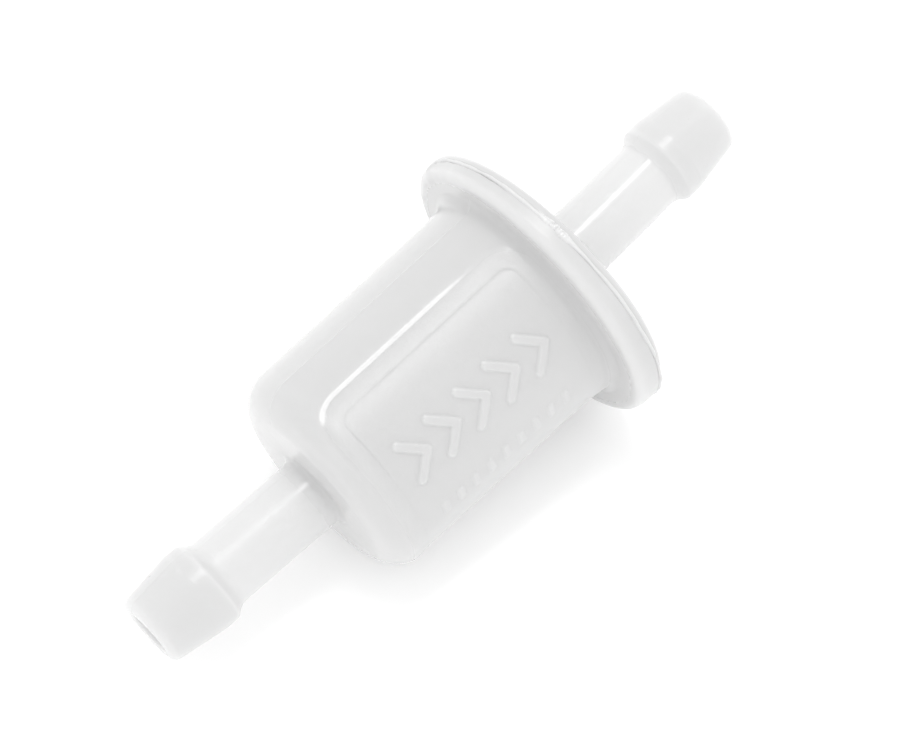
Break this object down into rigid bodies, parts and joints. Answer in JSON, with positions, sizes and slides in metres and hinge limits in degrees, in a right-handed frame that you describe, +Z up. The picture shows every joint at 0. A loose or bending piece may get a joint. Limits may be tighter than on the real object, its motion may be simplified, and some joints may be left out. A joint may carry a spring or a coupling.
{
  "type": "in-line fuel filter",
  "caption": "Small translucent in-line fuel filter: a welded cup and cover round a flange, a hose barb at each end, a pleated paper element inside.",
  "frame": {"origin": "on the flow axis, half way between the two hose tips", "axes": "+X along the flow axis from the inlet to the outlet, +Z up, -Y the side that the label panel turns towards"},
  "size_m": [0.0616, 0.0256, 0.0256],
  "materials": {
    "nylon_cup": "natural milky nylon, as moulded, satin with soft highlights",
    "nylon_cover": "natural milky nylon, as moulded, satin with soft highlights",
    "weld_flash": "melted and re-set nylon, uneven and partly glossy",
    "filter_paper": "resin-treated filter paper, matt and fibrous",
    "seam_glue": "hot-melt glue, smooth",
    "core_plastic": "white moulded plastic, matt",
    "cap_plastic": "white moulded plastic, matt",
    "potting_glue": "set potting glue, smooth with a slight meniscus"
  },
  "bodies": {
    "root": {"inlet_cup": "nylon_cup", "outlet_cover": "nylon_cover", "weld_seam": "weld_flash", "filter_paper": "filter_paper", "pleat_seam_glue": "seam_glue", "support_core": "core_plastic", "closed_end_cap": "cap_plastic", "open_end_cap": "cap_plastic", "closed_end_glue": "potting_glue", "open_end_glue": "potting_glue"}
  },
  "joints": []
}
